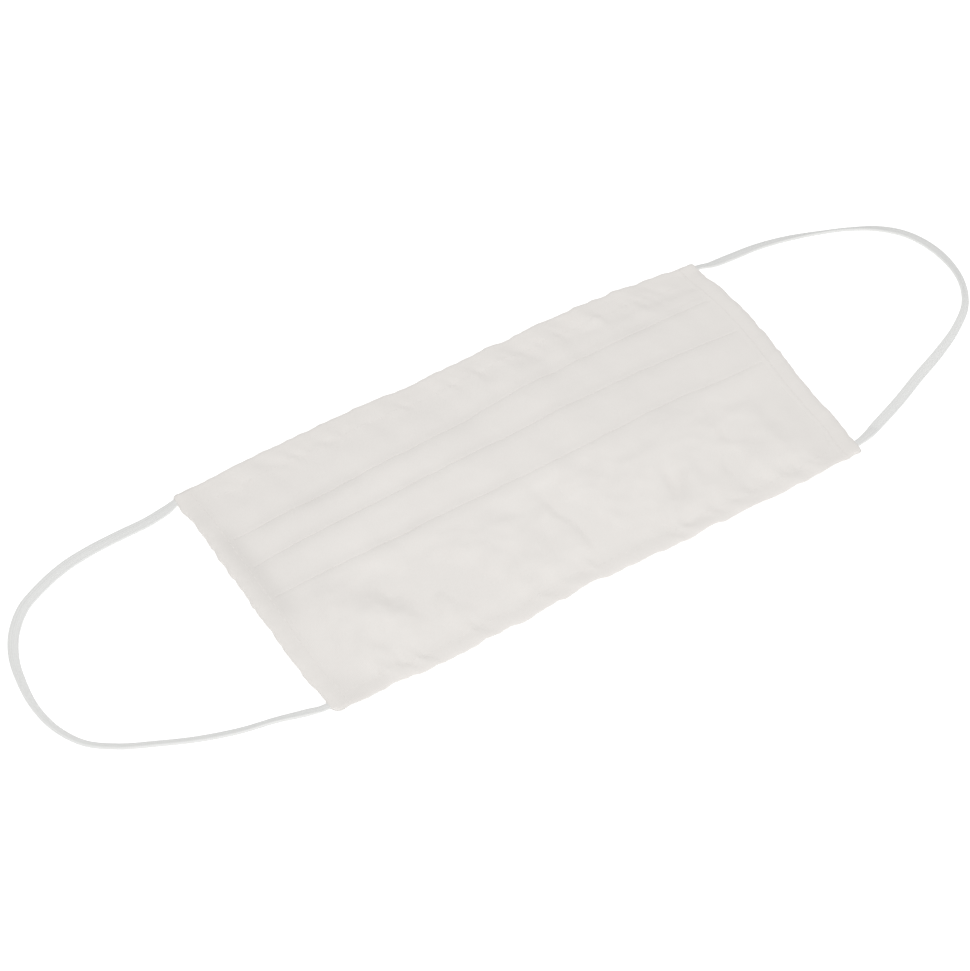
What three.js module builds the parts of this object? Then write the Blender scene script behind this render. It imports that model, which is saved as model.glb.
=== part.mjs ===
// Pleated cotton face mask with two elastic ear loops, lying flat with its outer side up.
// Millimetres. X runs along the mask's width, +Y towards its nose edge and +Z up.
// The origin is on the surface that the mask lies on, under the middle of its cloth.

import * as THREE from 'three';

// Cloth and clearances
const CLOTH = 1.0;
const LAYER_GAP = 0.2;
const PIECE_GAP = 0.3;

// Hems
const NOSE_HEM = 8.5;
const CHIN_HEM = 6.0;
const SIDE_HEM = 5.0;
const SIDE_FOLD_RADIUS = 1.5;

// Ear loops
const ELASTIC_WIDTH = 3.0;
const ELASTIC_THICKNESS = 1.2;
const ELASTIC_CHAMFER = 0.35;
const ELASTIC_STEPS = 64;

// Edges and pleat folds across the width: the Y of each line at a few places along X
const WIDTH_ROWS = [
  { x: -93, nose: 45.3, upper: 22.0, middle: 9.5, lower: -3.0, chin: -47.0 },
  { x: -46, nose: 46.8, upper: 24.2, middle: 12.9, lower: -1.8, chin: -47.5 },
  { x: 0, nose: 47.0, upper: 26.7, middle: 14.1, lower: -1.4, chin: -45.7 },
  { x: 46, nose: 47.5, upper: 29.8, middle: 15.4, lower: -0.2, chin: -46.4 },
  { x: 93, nose: 43.2, upper: 29.0, middle: 13.4, lower: -1.1, chin: -45.4 },
];

// Knife pleats from the nose edge down: how far each one is folded back under itself
const PLEATS = [
  { line: 'upper', depth: 8.0 },
  { line: 'middle', depth: 6.5 },
  { line: 'lower', depth: 8.0 },
];

// Ear loop routes from the nose corner to the chin corner, laid on the surface
const LEFT_LOOP_ROUTE = [
  { x: -93.3, y: 43.2, z: 1.7 },
  { x: -97, y: 43, z: 1.3 },
  { x: -104, y: 42.5, z: 0.7 },
  { x: -114, y: 42, z: 0.7 },
  { x: -124, y: 41.2, z: 0.7 },
  { x: -133, y: 39.5, z: 0.7 },
  { x: -142, y: 36.3, z: 0.7 },
  { x: -150, y: 32, z: 0.7 },
  { x: -156, y: 25.5, z: 0.7 },
  { x: -160, y: 17.5, z: 0.7 },
  { x: -162, y: 8, z: 0.7 },
  { x: -162.5, y: -2, z: 0.7 },
  { x: -160.5, y: -12, z: 0.7 },
  { x: -156, y: -20, z: 0.7 },
  { x: -149, y: -25.5, z: 0.7 },
  { x: -139, y: -30.5, z: 0.7 },
  { x: -128, y: -35.3, z: 0.7 },
  { x: -117, y: -38.8, z: 0.7 },
  { x: -106, y: -41, z: 0.7 },
  { x: -98, y: -43.2, z: 1.3 },
  { x: -93.3, y: -43.8, z: 1.7 },
];
const RIGHT_LOOP_ROUTE = [
  { x: 93.3, y: 41.8, z: 1.7 },
  { x: 97, y: 41.8, z: 1.3 },
  { x: 104, y: 41.6, z: 0.7 },
  { x: 114, y: 40.8, z: 0.7 },
  { x: 124, y: 38.9, z: 0.7 },
  { x: 134, y: 35.8, z: 0.7 },
  { x: 144, y: 31.8, z: 0.7 },
  { x: 152, y: 27.2, z: 0.7 },
  { x: 158, y: 21, z: 0.7 },
  { x: 161.5, y: 13, z: 0.7 },
  { x: 162.5, y: 4, z: 0.7 },
  { x: 161, y: -5, z: 0.7 },
  { x: 156, y: -13.8, z: 0.7 },
  { x: 147, y: -20.8, z: 0.7 },
  { x: 136, y: -26.4, z: 0.7 },
  { x: 125, y: -31, z: 0.7 },
  { x: 114, y: -35.9, z: 0.7 },
  { x: 104, y: -39.8, z: 0.7 },
  { x: 97.5, y: -41.8, z: 1.3 },
  { x: 93.3, y: -42.2, z: 1.7 },
];

// Values that follow from the driving sizes
const LAYER_PITCH = CLOTH + LAYER_GAP;
const FOLD_RADIUS = LAYER_PITCH / 2;
const FOLD_REACH = FOLD_RADIUS + CLOTH / 2;
const FIRST_LAYER = CLOTH / 2;
const SECOND_LAYER = FIRST_LAYER + LAYER_PITCH;
const THIRD_LAYER = SECOND_LAYER + LAYER_PITCH;
const HALF_WIDTH = WIDTH_ROWS.at(-1).x;
const PANEL_HALF_WIDTH = HALF_WIDTH - CLOTH - PIECE_GAP;
const SIDE_LIFT = CLOTH + PIECE_GAP;
const LINES = ['chin', 'lower', 'middle', 'upper', 'nose'];
const MIDDLE_ROW = WIDTH_ROWS.find((row) => row.x === 0);

const cotton = new THREE.MeshStandardMaterial({ color: 0xe6e2da, roughness: 0.95, metalness: 0 });
const hemCotton = new THREE.MeshStandardMaterial({ color: 0xe3dfd6, roughness: 0.95, metalness: 0 });
const elastic = new THREE.MeshStandardMaterial({ color: 0xe8e8e5, roughness: 0.85, metalness: 0 });

// Smooth values of every line at one place along the width
const widthCurve = new THREE.CubicInterpolant(
  WIDTH_ROWS.map((row) => row.x),
  WIDTH_ROWS.flatMap((row) => LINES.map((line) => row[line])),
  LINES.length,
);

function rowAt(x) {
  const values = widthCurve.evaluate(x);
  return Object.fromEntries(LINES.map((line, index) => [line, values[index]]));
}

// Moves a Y of the middle section to the same place between the lines of another row
function shiftToRow(y, row) {
  const above = LINES.findIndex((line, index) => index > 0 && y <= MIDDLE_ROW[line]);
  const high = above < 0 ? LINES.length - 1 : above;
  const from = [MIDDLE_ROW[LINES[high - 1]], MIDDLE_ROW[LINES[high]]];
  const to = [row[LINES[high - 1]], row[LINES[high]]];
  return THREE.MathUtils.mapLinear(y, ...from, ...to);
}

// Closed outline of a cloth wall along the middle line that an open path draws
function wallOutline(path, divisions) {
  const SAME_POINT = 1e-6;
  const drawn = path.getPoints(divisions);
  const isNew = (point, index) => index === 0 || point.distanceTo(drawn[index - 1]) > SAME_POINT;
  const points = drawn.filter(isNew);
  const offset = (side) => points.map((point, index) => {
    const before = points[Math.max(index - 1, 0)];
    const after = points[Math.min(index + 1, points.length - 1)];
    const along = after.clone().sub(before).normalize();
    const across = new THREE.Vector2(-along.y, along.x);
    return point.clone().addScaledVector(across, side * CLOTH / 2);
  });
  return new THREE.Shape([...offset(-1), ...offset(1).reverse()]);
}

// Sweeps a closed section through stations; place() puts each of its points in space
function sweep(section, stations, place) {
  const steps = stations.length - 1;
  const geometry = new THREE.ExtrudeGeometry(section, { depth: steps, steps, bevelEnabled: false });
  const position = geometry.attributes.position;
  for (let index = 0; index < position.count; index += 1) {
    const station = stations[Math.round(position.getZ(index))];
    const point = place(station, position.getX(index), position.getY(index));
    position.setXYZ(index, point.x, point.y, point.z);
  }
  geometry.computeVertexNormals();
  return geometry;
}

// Gentle change of height from the path's end to a new place
function rampTo(path, y, z) {
  const start = path.currentPoint.clone();
  const middle = (start.x + y) / 2;
  path.bezierCurveTo(middle, start.y, middle, z, y, z);
}

// Half turn of the cloth about a fold, up or down by one layer, on the chin or the nose side
function foldTo(path, y, fromLayer, toLayer, side) {
  const rising = toLayer > fromLayer;
  const start = rising ? -Math.PI / 2 : Math.PI / 2;
  path.lineTo(y, fromLayer);
  path.absarc(y, (fromLayer + toLayer) / 2, FOLD_RADIUS, start, -start, (side === 'nose') !== rising);
}

// Middle line of the cloth in the mask's middle section, from the nose hem's end to the chin hem's end
function clothPath() {
  const RAMP_CLEARANCE = 0.4;
  const CHIN_RAMP = 5.0;
  const path = new THREE.Path();
  path.moveTo(MIDDLE_ROW.nose - NOSE_HEM, FIRST_LAYER);
  foldTo(path, MIDDLE_ROW.nose - FOLD_REACH, FIRST_LAYER, SECOND_LAYER, 'nose');
  let rampStart = MIDDLE_ROW.nose - NOSE_HEM;
  for (const { line, depth } of PLEATS) {
    const fold = MIDDLE_ROW[line] + FOLD_REACH;
    path.lineTo(rampStart, path.currentPoint.y);
    rampTo(path, fold + depth + FOLD_REACH + RAMP_CLEARANCE, THIRD_LAYER);
    foldTo(path, fold, THIRD_LAYER, SECOND_LAYER, 'chin');
    foldTo(path, fold + depth, SECOND_LAYER, FIRST_LAYER, 'nose');
    rampStart = MIDDLE_ROW[line];
  }
  path.lineTo(MIDDLE_ROW.chin + CHIN_HEM + CHIN_RAMP, FIRST_LAYER);
  rampTo(path, MIDDLE_ROW.chin + CHIN_HEM + RAMP_CLEARANCE, SECOND_LAYER);
  foldTo(path, MIDDLE_ROW.chin + FOLD_REACH, SECOND_LAYER, FIRST_LAYER, 'chin');
  path.lineTo(MIDDLE_ROW.chin + CHIN_HEM, FIRST_LAYER);
  return path;
}

// Pleated cloth with its nose and chin hems, lifted at both sides onto the side hems' under layers
function pleatedPanel() {
  const FOLD_DIVISIONS = 3;
  const LIFT_RUN = 8;
  const LIFT_END = HALF_WIDTH - SIDE_HEM - PIECE_GAP;
  const LIFT_START = LIFT_END - LIFT_RUN;
  const half = [20, 40, 60, LIFT_START, LIFT_END, PANEL_HALF_WIDTH];
  const stations = [...half.map((x) => -x).reverse(), 0, ...half];
  const geometry = sweep(wallOutline(clothPath(), FOLD_DIVISIONS), stations, (x, y, z) => {
    const lift = SIDE_LIFT * THREE.MathUtils.smoothstep(Math.abs(x), LIFT_START, LIFT_END);
    return { x, y: shiftToRow(y, rowAt(x)), z: z + lift };
  });
  return new THREE.Mesh(geometry, cotton);
}

// Folded section of a side hem: under layer, outer fold and upper layer, with X outwards
function sideHemSection(height) {
  const FOLD_DIVISIONS = 2;
  const corner = SIDE_FOLD_RADIUS;
  const bend = corner - CLOTH / 2;
  const path = new THREE.Path();
  path.moveTo(HALF_WIDTH - SIDE_HEM, FIRST_LAYER);
  path.lineTo(HALF_WIDTH - corner, FIRST_LAYER);
  path.absarc(HALF_WIDTH - corner, corner, bend, -Math.PI / 2, 0, false);
  path.lineTo(HALF_WIDTH - CLOTH / 2, height - corner);
  path.absarc(HALF_WIDTH - corner, height - corner, bend, 0, Math.PI / 2, false);
  path.lineTo(HALF_WIDTH - SIDE_HEM, height - CLOTH / 2);
  return wallOutline(path, FOLD_DIVISIONS);
}

// Height of a side hem over a number of cloth layers between its own two
function sideHemHeight(layers) {
  return 2 * (CLOTH + PIECE_GAP) + layers * CLOTH + (layers - 1) * LAYER_GAP;
}

// Strip that wraps the pleat ends of one side (side is -1 on the left, 1 on the right)
function sideHem(side) {
  const EASE = 4;
  const SLOPE = 9;
  const row = rowAt(side * HALF_WIDTH);
  // Places down the edge, with the number of cloth layers that the strip holds there
  const stations = [
    { y: row.nose, layers: 2 },
    { y: row.nose - NOSE_HEM / 2, layers: 2 },
    { y: row.upper + PLEATS[0].depth + EASE, layers: 3 },
    { y: row.upper, layers: 3 },
    { y: row.middle, layers: 3 },
    { y: row.lower - EASE, layers: 3 },
    { y: row.lower - EASE - SLOPE, layers: 1 },
    { y: row.chin + CHIN_HEM + SLOPE, layers: 1 },
    { y: row.chin + CHIN_HEM, layers: 2 },
    { y: row.chin, layers: 2 },
  ];
  const lowest = sideHemHeight(1);
  if (side < 0) {
    stations.reverse();
  }
  const geometry = sweep(sideHemSection(lowest), stations, (station, x, z) => {
    const rise = z > lowest / 2 ? sideHemHeight(station.layers) - lowest : 0;
    return { x: side * x, y: station.y, z: z + rise };
  });
  return new THREE.Mesh(geometry, hemCotton);
}

// Flat elastic swept along its route, with bevelled long edges
function earLoop(route) {
  const halfWidth = ELASTIC_WIDTH / 2;
  const halfThickness = ELASTIC_THICKNESS / 2;
  const section = new THREE.Shape();
  section.moveTo(-halfWidth, -halfThickness + ELASTIC_CHAMFER);
  section.lineTo(-halfWidth + ELASTIC_CHAMFER, -halfThickness);
  section.lineTo(halfWidth - ELASTIC_CHAMFER, -halfThickness);
  section.lineTo(halfWidth, -halfThickness + ELASTIC_CHAMFER);
  section.lineTo(halfWidth, halfThickness - ELASTIC_CHAMFER);
  section.lineTo(halfWidth - ELASTIC_CHAMFER, halfThickness);
  section.lineTo(-halfWidth + ELASTIC_CHAMFER, halfThickness);
  section.lineTo(-halfWidth, halfThickness - ELASTIC_CHAMFER);
  section.closePath();
  const extrudePath = new THREE.CatmullRomCurve3(route.map(({ x, y, z }) => new THREE.Vector3(x, y, z)));
  const geometry = new THREE.ExtrudeGeometry(section, { steps: ELASTIC_STEPS, extrudePath });
  return new THREE.Mesh(geometry, elastic);
}

const mask = new THREE.Group();
const pieces = {
  pleated_panel: pleatedPanel(),
  left_side_hem: sideHem(-1),
  right_side_hem: sideHem(1),
  left_ear_loop: earLoop(LEFT_LOOP_ROUTE),
  right_ear_loop: earLoop(RIGHT_LOOP_ROUTE),
};
for (const [name, piece] of Object.entries(pieces)) {
  piece.name = name;
  mask.add(piece);
}

export default mask;
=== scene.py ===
"""Pleated cotton face mask with two elastic ear loops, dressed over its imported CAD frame.

The mask lies flat with its outer side up. X runs along its width, +Y towards its nose edge and +Z up.
Tables and shaping work in millimetres. Settings and objects, like the frame, are in metres.
"""

import math
from collections import namedtuple

import bmesh
import bpy
import numpy as np
from bpy.props import FloatProperty, FloatVectorProperty, PointerProperty
from bpy.types import Operator, Panel, PropertyGroup
from mathutils import Matrix, Vector, noise
from mathutils.bvhtree import BVHTree


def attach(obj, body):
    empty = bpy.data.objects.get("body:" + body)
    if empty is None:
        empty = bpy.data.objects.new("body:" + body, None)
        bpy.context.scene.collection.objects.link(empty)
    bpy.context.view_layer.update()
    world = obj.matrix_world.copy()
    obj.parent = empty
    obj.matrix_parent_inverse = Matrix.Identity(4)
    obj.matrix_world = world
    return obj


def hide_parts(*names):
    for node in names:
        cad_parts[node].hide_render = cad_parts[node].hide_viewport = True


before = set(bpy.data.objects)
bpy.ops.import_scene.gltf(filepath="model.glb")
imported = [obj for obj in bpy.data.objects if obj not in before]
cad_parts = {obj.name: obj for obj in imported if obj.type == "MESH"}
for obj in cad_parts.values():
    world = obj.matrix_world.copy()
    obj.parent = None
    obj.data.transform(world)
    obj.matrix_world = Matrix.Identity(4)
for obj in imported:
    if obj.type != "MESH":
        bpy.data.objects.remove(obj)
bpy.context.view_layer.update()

bl_info = {
    "name": "Pleated face mask",
    "version": (1, 0, 0),
    "blender": (4, 5, 0),
    "location": "View3D > Sidebar > Face Mask",
    "description": "Sews a pleated cotton face mask with elastic ear loops over its CAD frame",
    "category": "Mesh",
}

MM = 0.001
BODY = "root"
CLOTH_UV = "cloth_mm"
FOLD_SHADE = "fold_shade"

# How deep each hem is turned, and how far in from its edge it is sewn
NOSE_HEM, NOSE_STITCH = 8.5, 7.4
CHIN_HEM, CHIN_STITCH = 6.0, 5.0
SIDE_HEM, SIDE_STITCH = 6.4, 5.4

# The mask's edges and pleat folds: the Y of each line at a few places along X
PatternRow = namedtuple("PatternRow", "x nose upper middle lower chin")
PATTERN = (
    PatternRow(-93.0, 46.4, 22.0, 9.5, -3.0, -47.5),
    PatternRow(-62.0, 47.4, 23.4, 11.9, -2.1, -48.0),
    PatternRow(-31.0, 48.5, 25.0, 13.4, -1.6, -47.6),
    PatternRow(0.0, 48.0, 26.7, 14.1, -1.4, -46.3),
    PatternRow(31.0, 48.6, 29.1, 15.2, -0.5, -47.0),
    PatternRow(62.0, 48.3, 29.8, 15.0, -0.3, -46.9),
    PatternRow(93.0, 45.4, 29.0, 13.4, -1.1, -46.5),
)
HALF_WIDTH = PATTERN[-1].x

# Waves along a line: shift is added to the line's own seed
Wave = namedtuple("Wave", "height size shift", defaults=(0.0,))

# The nose and chin edges: the side of the mask that they bound, how far their corners are rounded, how far
# in they are sewn, and how the puckers along that seam lean and stand up
Edge = namedtuple("Edge", "sign seed left_radius right_radius stitch lean pucker pucker_seed")
EDGES = {
    "nose": Edge(1.0, 1.7, 1.8, 1.2, NOSE_STITCH, -0.7, 1.35, 6.1),
    "chin": Edge(-1.0, 9.2, 2.4, 1.2, CHIN_STITCH, 1.0, 1.5, 3.6),
}
EDGE_WAVES = (Wave(0.45, 11.0), Wave(0.50, 5.0), Wave(0.32, 2.4))

# How far the sides bow out as the mask lies, at a few places along Y
Bow = namedtuple("Bow", "y left right")
SIDE_BOWS = (
    Bow(-50.0, -1.5, 0.1),
    Bow(-40.0, -1.3, 0.0),
    Bow(-33.0, -0.5, 0.8),
    Bow(-24.0, -0.3, 0.7),
    Bow(-14.0, -0.2, 0.8),
    Bow(0.0, -0.2, 1.6),
    Bow(12.0, 0.0, 2.2),
    Bow(24.0, 0.0, 1.95),
    Bow(33.0, 0.0, 1.0),
    Bow(41.0, 0.7, -0.2),
    Bow(51.0, 1.0, -0.6),
)

# Knife pleats from the nose edge down: how deep each is folded back, and how far its fold wanders
Pleat = namedtuple("Pleat", "line depth wander seed")
PLEATS = (
    Pleat("upper", 8.0, 0.45, 3.1),
    Pleat("middle", 6.5, 0.40, 8.4),
    Pleat("lower", 8.0, 0.35, 5.7),
)

# How a fold's line wanders, how unevenly its step shows along it, and how little and how much at most
FOLD_WAVES = (Wave(1.0, 22.0), Wave(0.5, 7.0))
SHOWN_WAVES = (Wave(0.6, 24.0, 4.0), Wave(0.5, 6.0, 9.0))
LEAST_SHOWN, MOST_SHOWN = 0.15, 1.9

# Folds and dents in the cloth that are larger than its crumple; angle is that of the long side
Crease = namedtuple("Crease", "x y angle length width height")
CREASES = (
    Crease(6.8, -27.5, -75.0, 13.0, 4.5, -0.42),
    Crease(2.0, -11.0, -84.0, 8.0, 3.4, -0.20),
    Crease(15.0, -31.0, -73.0, 13.0, 4.4, 0.28),
    Crease(37.0, -27.0, 67.0, 9.0, 3.0, -0.35),
    Crease(43.0, -30.0, 67.0, 8.0, 3.6, 0.22),
    Crease(62.0, -20.0, 20.0, 4.0, 3.4, -0.32),
    Crease(57.5, -29.5, 60.0, 5.0, 3.2, -0.28),
    Crease(-42.0, -21.0, -35.0, 11.0, 6.0, -0.28),
    Crease(-61.0, -26.0, -30.0, 12.0, 6.0, 0.32),
    Crease(-14.0, -33.0, -70.0, 9.0, 3.5, 0.22),
    Crease(76.0, -30.0, 80.0, 11.0, 3.4, -0.25),
    Crease(48.5, 36.0, 15.0, 5.0, 3.0, -0.34),
    Crease(66.0, 37.0, -55.0, 6.5, 2.6, 0.22),
    Crease(61.0, 37.0, -55.0, 6.5, 2.6, -0.2),
)

# Soft crumple all over the cloth: its lumps may lean, and be drawn out along or across the mask
Crumple = namedtuple("Crumple", "height size lean along across seed")
CRUMPLES = (
    Crumple(0.46, 34.0, 0.0, 1.0, 1.0, 4.2),
    Crumple(0.24, 15.0, 0.35, 1.5, 0.5, 7.7),
    Crumple(0.13, 7.5, -0.4, 1.4, 0.5, 1.3),
    Crumple(0.05, 4.0, 0.0, 1.0, 1.0, 2.9),
)

# How far the crumple shows: on the pleats, how much more below them, how much less in the chin hem
PLEAT_CRUMPLE, CHIN_CRUMPLE, HEM_CALM = 0.6, 0.95, 0.55

# Puckers off the nose and chin seams: sharp ones close to the thread and soft folds that run into the cloth
Pucker = namedtuple("Pucker", "height size reach")
SHARP_PUCKER = Pucker(0.62, 3.2, 3.2)
SOFT_PUCKER = Pucker(1.55, 8.0, 14.0)

# Where along X, out from the middle, the side seams take hold of the cloth, the strips lift it, its sides
# bow out, the steps of its folds are pressed flat and the painted shade of the folds ends
HELD, LIFTED, BOWED = (72.0, 87.5), (78.0, 88.0), (45.0, 90.0)
FLAT_ENDS, SHADE_ENDS = (64.0, 86.0), (80.0, 90.0)

# How the panel lies: half its cut width, its height over the floor, how far it is held up at the sides, how
# far the loose cloth stands off its layers, and how far its deepest dents sink
PANEL_HALF = 91.6
FLOOR_GAP = 0.04
SIDE_LIFT = 0.32
LOOSE_LIFT = 0.45
DENT_FLOOR = 0.7

# The section of the pleats: height of a fold's lip, depth of the step below it, run of the cloth past a
# fold's back and down from the lowest fold, rise from a fold's foot to the next crest, and puff of the hems
LIP, STEP = 0.25, 0.10
CREST, CHIN_RAMP = 0.8, 7.0
RAMP = ((0.28, 0.34), (0.62, 0.74))
HEM_PUFF = 0.16

# Painted shade near the sides, over the left pleat ends, along the edges and in the chin corners: how dark,
# how far in from the edge, and how wide
SideShade = namedtuple("SideShade", "dull inwards width")
LEFT_VALLEY = SideShade(1.2, 7.2, 3.4)
LEFT_EDGE, RIGHT_EDGE = SideShade(0.35, 4.5, 3.6), SideShade(0.35, 0.5, 2.2)
LEFT_CORNER, RIGHT_CORNER = SideShade(0.9, 9.0, 6.5), SideShade(0.45, 9.0, 6.5)
# How dark and how wide the painted shade along each pleat fold is
FOLD_DARKNESS, FOLD_WIDTH = 0.9, 2.4

# The side strips: puckers along the seam and waves of the outer edge
STRIP_PUCKERS = (Wave(1.0, 5.5), Wave(0.6, 2.6))
STRIP_WAVES = (Wave(0.4, 9.0, 3.0), Wave(0.35, 3.5), Wave(0.2, 1.9, 5.0))

# Spacing of the meshes: rows of the panel inside its folds and in view, its columns, and a strip's columns
HIDDEN_ROW, SHOWN_ROW, COLUMN = 1.9, 0.9, 0.97
STRIP_COLUMNS = 170

# Ear loop routes from the nose corner to the chin corner
LEFT_ROUTE = (
    (-93.3, 44.2, 1.7),
    (-97.0, 43.1, 1.3),
    (-104.0, 41.9, 0.7),
    (-114.0, 41.6, 0.7),
    (-124.0, 41.0, 0.7),
    (-133.0, 39.5, 0.7),
    (-142.0, 36.3, 0.7),
    (-150.0, 32.0, 0.7),
    (-156.0, 25.5, 0.7),
    (-160.0, 17.5, 0.7),
    (-162.0, 8.0, 0.7),
    (-162.5, -2.0, 0.7),
    (-160.5, -12.0, 0.7),
    (-156.0, -20.0, 0.7),
    (-149.0, -25.5, 0.7),
    (-139.0, -30.5, 0.7),
    (-128.0, -35.3, 0.7),
    (-117.0, -38.8, 0.7),
    (-106.0, -41.0, 0.7),
    (-98.0, -43.2, 1.3),
    (-93.3, -44.3, 1.7),
)
RIGHT_ROUTE = (
    (93.3, 43.1, 1.7),
    (97.0, 42.0, 1.3),
    (104.0, 41.4, 0.7),
    (114.0, 40.8, 0.7),
    (124.0, 38.9, 0.7),
    (134.0, 35.8, 0.7),
    (144.0, 31.8, 0.7),
    (152.0, 27.2, 0.7),
    (158.0, 21.0, 0.7),
    (161.5, 13.0, 0.7),
    (162.5, 4.0, 0.7),
    (161.0, -5.0, 0.7),
    (156.0, -13.8, 0.7),
    (147.0, -20.8, 0.7),
    (136.0, -26.4, 0.7),
    (125.0, -31.0, 0.7),
    (114.0, -35.9, 0.7),
    (104.0, -39.8, 0.7),
    (97.5, -42.2, 1.3),
    (93.3, -43.0, 1.7),
)

# How far the elastic is rolled along its route; its outer edge stands up where roll is positive
Roll = namedtuple("Roll", "share degrees")
LEFT_ROLLS = (
    Roll(0.00, 2.0),
    Roll(0.06, 6.0),
    Roll(0.15, 10.0),
    Roll(0.23, 16.0),
    Roll(0.31, 14.0),
    Roll(0.39, 24.0),
    Roll(0.46, 34.0),
    Roll(0.53, 40.0),
    Roll(0.60, 38.0),
    Roll(0.68, 35.0),
    Roll(0.76, 36.0),
    Roll(0.84, 34.0),
    Roll(0.90, 36.0),
    Roll(0.95, 26.0),
    Roll(1.00, 4.0),
)
RIGHT_ROLLS = (
    Roll(0.00, -6.0),
    Roll(0.02, -20.0),
    Roll(0.06, -12.0),
    Roll(0.17, -24.0),
    Roll(0.29, -42.0),
    Roll(0.38, -18.0),
    Roll(0.47, -14.0),
    Roll(0.56, -40.0),
    Roll(0.66, -58.0),
    Roll(0.77, -38.0),
    Roll(0.87, -24.0),
    Roll(0.925, -12.0),
    Roll(0.955, 12.0),
    Roll(0.98, 6.0),
    Roll(1.00, -3.0),
)

Loop = namedtuple("Loop", "name node route rolls length")
LOOPS = (
    Loop("left_elastic", "left_ear_loop", LEFT_ROUTE, LEFT_ROLLS, 0.190),
    Loop("right_elastic", "right_ear_loop", RIGHT_ROUTE, RIGHT_ROLLS, 0.183),
)

# The elastic: how far it is sewn in, its height and gather where it leaves the cloth, how its place on the
# surface follows its height, its ribs, the pitch of its knit, and the squareness and points of its section
ELASTIC_TUCK = 3.0
ELASTIC_EXIT = 0.68
ELASTIC_GATHER = 0.28
ELASTIC_LEAN = (-0.43, -0.71)
ELASTIC_RIB, ELASTIC_KNIT = 0.62, 0.55
SQUARENESS, SECTION_POINTS = 0.55, 44

# The sides: which way each faces, and how far the pleat ends push its edge out
Side = namedtuple("Side", "name node sign seed push")
SIDES = (
    Side("left_hem_strip", "left_side_hem", -1.0, 2.3, 0.5),
    Side("right_hem_strip", "right_side_hem", 1.0, 6.9, 0.3),
)

# Stitches: how far they stand proud on the upper (True) and under side, the gap between two, how far their
# ends dive into the cloth, and how many points of the cloth each one follows
STITCH_PROUD = {True: 0.06, False: 0.03}
STITCH_GAP, STITCH_DIVE = 0.35, 0.12
STITCH_POINTS = 5

# Finishes: pitch of the threads of the panel and the strips, and how much of a tone is the finish's own
PANEL_WEAVE, STRIP_WEAVE = 0.42, 0.40
OWN_TONE = 0.6


class ClothSizes(PropertyGroup):
    """Sizes of the mask's cotton"""

    thickness: FloatProperty(
        name="Cloth thickness", description="Thickness of the doubled cotton",
        default=0.26 * MM, min=0.2 * MM, max=1.2 * MM, precision=5, unit="LENGTH", subtype="DISTANCE",
    )
    layer_pitch: FloatProperty(
        name="Layer pitch", description="Height from one folded layer to the next",
        default=0.29 * MM, min=0.2 * MM, max=1.5 * MM, precision=5, unit="LENGTH", subtype="DISTANCE",
    )
    crown: FloatProperty(
        name="Band crown", description="How far the bands between the pleats stand up",
        default=0.06 * MM, min=0.0, max=2 * MM, precision=5, unit="LENGTH", subtype="DISTANCE",
    )
    swell: FloatProperty(
        name="Chin swell", description="How far the band below the pleats swells off the surface",
        default=1.0 * MM, min=0.0, max=4 * MM, precision=5, unit="LENGTH", subtype="DISTANCE",
    )
    wrinkle: FloatProperty(
        name="Wrinkles", description="How strongly the creases and crumple show",
        default=3.1, min=0.0, max=5.0, subtype="FACTOR",
    )
    pucker: FloatProperty(
        name="Seam pucker", description="How far the cloth puckers along its seams",
        default=0.5 * MM, min=0.0, max=1 * MM, precision=5, unit="LENGTH", subtype="DISTANCE",
    )
    strip_thickness: FloatProperty(
        name="Hem strip thickness", description="Thickness of the strips that wrap the sides",
        default=0.20 * MM, min=0.15 * MM, max=1 * MM, precision=5, unit="LENGTH", subtype="DISTANCE",
    )


class ElasticSizes(PropertyGroup):
    """Sizes of the ear loops' elastic"""

    width: FloatProperty(
        name="Elastic width", description="Width of the flat elastic",
        default=3.3 * MM, min=2 * MM, max=6 * MM, precision=5, unit="LENGTH", subtype="DISTANCE",
    )
    thickness: FloatProperty(
        name="Elastic thickness", description="Thickness of the flat elastic",
        default=1.0 * MM, min=0.5 * MM, max=2 * MM, precision=5, unit="LENGTH", subtype="DISTANCE",
    )


class StitchSizes(PropertyGroup):
    """Sizes of the hem stitches"""

    length: FloatProperty(
        name="Stitch length", description="Length of one stitch",
        default=2.5 * MM, min=1.5 * MM, max=4 * MM, precision=5, unit="LENGTH", subtype="DISTANCE",
    )
    thread: FloatProperty(
        name="Thread thickness", description="Thickness of the sewing thread",
        default=0.3 * MM, min=0.2 * MM, max=0.8 * MM, precision=5, unit="LENGTH", subtype="DISTANCE",
    )


class MaskColours(PropertyGroup):
    """Colours of the mask's finishes"""

    cotton: FloatVectorProperty(
        name="Cotton", description="Colour of the pleated cloth",
        default=(0.79, 0.763, 0.734), size=3, min=0.0, max=1.0, subtype="COLOR",
    )
    hem: FloatVectorProperty(
        name="Hem cotton", description="Colour of the strips along the sides",
        default=(0.79, 0.763, 0.734), size=3, min=0.0, max=1.0, subtype="COLOR",
    )
    elastic: FloatVectorProperty(
        name="Elastic", description="Colour of the ear loops",
        default=(0.75, 0.753, 0.741), size=3, min=0.0, max=1.0, subtype="COLOR",
    )
    thread: FloatVectorProperty(
        name="Thread", description="Colour of the sewing thread",
        default=(0.80, 0.772, 0.742), size=3, min=0.0, max=1.0, subtype="COLOR",
    )


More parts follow.
